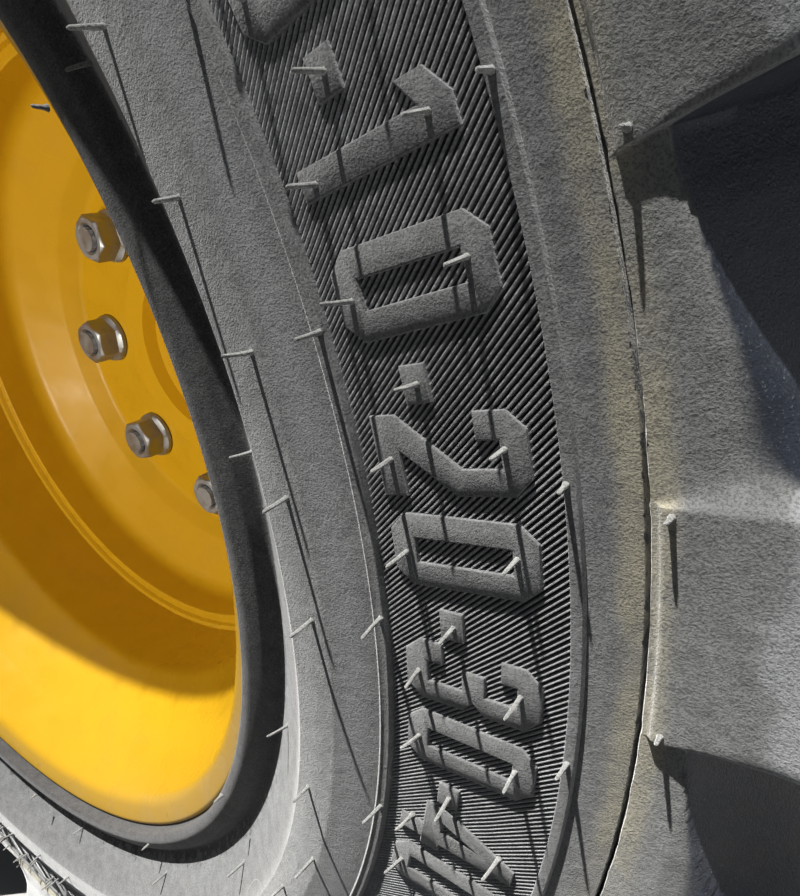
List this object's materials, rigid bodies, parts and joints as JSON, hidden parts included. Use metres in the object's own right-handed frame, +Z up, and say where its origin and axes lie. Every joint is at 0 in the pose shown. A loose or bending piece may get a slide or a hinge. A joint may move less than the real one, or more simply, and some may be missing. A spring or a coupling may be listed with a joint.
{
  "type": "skid steer loader wheel on its axle end",
  "caption": "Pneumatic wheel with a lugged tyre on a deep dished steel rim, bolted to a flanged axle shaft that turns in its axle housing.",
  "frame": {"origin": "centre of the axle housing's mounting face", "axes": "+Z up, +Y along the axle towards the machine, the wheel's outer face looks towards -Y"},
  "size_m": [0.922, 0.462, 0.922],
  "materials": {
    "tyre_rubber": "matte",
    "wheel_paint": "gloss",
    "plated_steel": "satin",
    "bright_steel": "machined",
    "housing_paint": "satin",
    "valve_rubber": "matte"
  },
  "bodies": {
    "axle_housing": {"axle_housing": "housing_paint", "oil_seal": "valve_rubber", "bearing_cup": "bright_steel"},
    "wheel": {"tyre": "tyre_rubber", "rim": "wheel_paint", "disc": "wheel_paint", "valve_stem": "valve_rubber", "valve_cap": "valve_rubber", "axle_shaft": "bright_steel", "bearing_cone": "bright_steel", "lock_washer": "plated_steel", "lock_nut": "plated_steel", "stud_1": "plated_steel", "stud_2": "plated_steel", "stud_3": "plated_steel", "stud_4": "plated_steel", "stud_5": "plated_steel", "stud_6": "plated_steel", "stud_7": "plated_steel", "stud_8": "plated_steel", "nut_1": "plated_steel", "nut_2": "plated_steel", "nut_3": "plated_steel", "nut_4": "plated_steel", "nut_5": "plated_steel", "nut_6": "plated_steel", "nut_7": "plated_steel", "nut_8": "plated_steel"}
  },
  "joints": [
    {"name": "wheel_spin", "type": "hinge", "parent": "axle_housing", "child": "wheel", "pos_m": [0, 0, 0], "axis": [0, 1, 0], "continuous": true}
  ]
}
